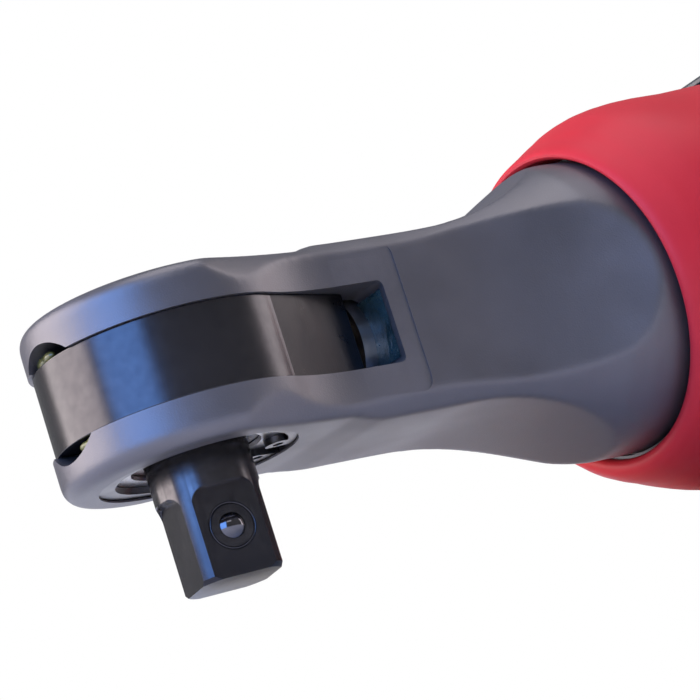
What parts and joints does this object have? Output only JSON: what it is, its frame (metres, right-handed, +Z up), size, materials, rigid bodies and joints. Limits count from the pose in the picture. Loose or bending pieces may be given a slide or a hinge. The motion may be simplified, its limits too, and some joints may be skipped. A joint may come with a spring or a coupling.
{
  "type": "air ratchet",
  "caption": "Compact pneumatic ratchet wrench: square drive in a forked steel head, reversing knob, red collar, rubber grip, throttle lever, rear exhaust and threaded air inlet.",
  "frame": {"origin": "centre of the tip face of the drive square, on the drive axis", "axes": "+X along the tool from the drive axis to the air inlet, +Z up along the drive axis toward the reversing knob, +Y to the left when looking along +X"},
  "size_m": [0.2431, 0.051, 0.0573],
  "materials": {
    "forged_steel": "satin blackened steel",
    "black_oxide": "black oxide",
    "bright_steel": "ground steel",
    "gear_steel": "hardened steel",
    "ball_steel": "polished",
    "bronze": "sintered bronze",
    "housing_metal": "anodised",
    "nut_steel": "zinc plated",
    "red_plastic": "satin gloss",
    "black_rubber": "matt",
    "black_plastic": "satin",
    "lever_paint": "powder coat",
    "cast_iron_liner": "honed",
    "vane_laminate": "phenolic laminate",
    "seal_rubber": "matt",
    "felt": "felt",
    "screen_brass": "woven"
  },
  "bodies": {
    "tool_body": {"ratchet_head": "forged_steel", "thrust_washer": "bright_steel", "retaining_ring": "bright_steel", "needle_bearing": "bright_steel", "crank_bearing": "bright_steel", "ring_gear": "gear_steel", "coupling_nut": "nut_steel", "front_collar": "red_plastic", "motor_housing": "housing_metal", "front_end_plate": "cast_iron_liner", "rear_end_plate": "cast_iron_liner", "cylinder_liner": "cast_iron_liner", "rotor_bearings": "bright_steel", "motor_spacer": "cast_iron_liner", "grip_sleeve": "black_rubber", "lever_pin": "bright_steel", "stem_guide": "bronze", "stem_seal": "seal_rubber", "valve_seat": "bronze", "valve_spring": "bright_steel", "inlet_bushing": "nut_steel", "inlet_screen": "screen_brass", "inlet_seal": "seal_rubber", "deflector_clip": "bright_steel", "muffler": "felt"},
    "yoke": {"yoke": "black_oxide"},
    "anvil": {"anvil": "black_oxide", "detent_spring": "bright_steel", "knob_pin": "bright_steel", "pawl_pin": "bright_steel"},
    "detent_ball": {"detent_ball": "ball_steel"},
    "reverse_knob": {"reverse_knob": "black_oxide", "pawl_plunger": "bright_steel", "pawl_spring": "bright_steel"},
    "pawl": {"pawl": "gear_steel"},
    "crank": {"crankshaft": "gear_steel", "planet_pins": "bright_steel", "crank_bearing_inner": "bright_steel"},
    "drive_bushing": {"drive_bushing": "bronze"},
    "planet_1": {"planet_gear_1": "gear_steel"},
    "planet_2": {"planet_gear_2": "gear_steel"},
    "planet_3": {"planet_gear_3": "gear_steel"},
    "rotor": {"rotor": "gear_steel", "rotor_vanes": "vane_laminate", "rotor_bearing_inners": "bright_steel"},
    "lever": {"throttle_lever": "lever_paint"},
    "valve": {"valve_stem": "bright_steel", "valve_poppet": "seal_rubber"},
    "deflector": {"exhaust_deflector": "black_plastic"}
  },
  "joints": [
    {"name": "yoke_swing", "type": "hinge", "parent": "tool_body", "child": "yoke", "pos_m": [0, 0, 0.0237], "axis": [0, 0, 1], "range_deg": [-7.5, 7.5]},
    {"name": "anvil_spin", "type": "hinge", "parent": "tool_body", "child": "anvil", "pos_m": [0, 0, 0.0237], "axis": [0, 0, 1], "continuous": true},
    {"name": "ball_press", "type": "slide", "parent": "anvil", "child": "detent_ball", "axis": [0.2062, 0.9785, 0], "range_m": [0, 0.00075], "stiffness_N_per_m": 800, "springref_m": -0.0005},
    {"name": "knob_turn", "type": "hinge", "parent": "anvil", "child": "reverse_knob", "pos_m": [0, 0, 0.0237], "axis": [0, 0, 1], "range_deg": [-30, 30]},
    {"name": "pawl_tilt", "type": "hinge", "parent": "anvil", "child": "pawl", "pos_m": [0, 0.0059, 0.0237], "axis": [0, 0, 1], "range_deg": [-12, 12]},
    {"name": "crank_spin", "type": "hinge", "parent": "tool_body", "child": "crank", "pos_m": [0.03, 0, 0.0237], "axis": [1, 0, 0], "continuous": true},
    {"name": "bushing_spin", "type": "hinge", "parent": "crank", "child": "drive_bushing", "pos_m": [0.018, 0, 0.02607], "axis": [1, 0, 0], "continuous": true},
    {"name": "planet_1_spin", "type": "hinge", "parent": "crank", "child": "planet_1", "pos_m": [0.0734, 0, 0.03315], "axis": [1, 0, 0], "continuous": true},
    {"name": "planet_2_spin", "type": "hinge", "parent": "crank", "child": "planet_2", "pos_m": [0.0734, -0.00818, 0.01897], "axis": [1, 0, 0], "continuous": true},
    {"name": "planet_3_spin", "type": "hinge", "parent": "crank", "child": "planet_3", "pos_m": [0.0734, 0.00818, 0.01897], "axis": [1, 0, 0], "continuous": true},
    {"name": "rotor_spin", "type": "hinge", "parent": "tool_body", "child": "rotor", "pos_m": [0.106, 0, 0.0237], "axis": [1, 0, 0], "continuous": true},
    {"name": "lever_squeeze", "type": "hinge", "parent": "tool_body", "child": "lever", "pos_m": [0.09, 0, 0.04686], "axis": [0, 1, 0], "range_deg": [0, 3.5], "stiffness_Nm_per_rad": 1, "springref_deg": -5.73},
    {"name": "valve_slide", "type": "slide", "parent": "tool_body", "child": "valve", "axis": [0, 0, -1], "range_m": [0, 0.0037], "deforming": ["valve_spring"]},
    {"name": "deflector_turn", "type": "hinge", "parent": "tool_body", "child": "deflector", "pos_m": [0.21, 0, 0.0237], "axis": [1, 0, 0], "continuous": true}
  ],
  "couplings": [
    {"joint": "pawl_tilt", "follows": "knob_turn", "ratio": 0.4},
    {"joint": "bushing_spin", "follows": "crank_spin", "ratio": -1},
    {"joint": "planet_1_spin", "follows": "crank_spin", "ratio": -2.8},
    {"joint": "planet_2_spin", "follows": "crank_spin", "ratio": -2.8},
    {"joint": "planet_3_spin", "follows": "crank_spin", "ratio": -2.8},
    {"joint": "rotor_spin", "follows": "crank_spin", "ratio": 4.5},
    {"joint": "valve_slide", "follows": "lever_squeeze", "m_per_rad": 0.06}
  ]
}
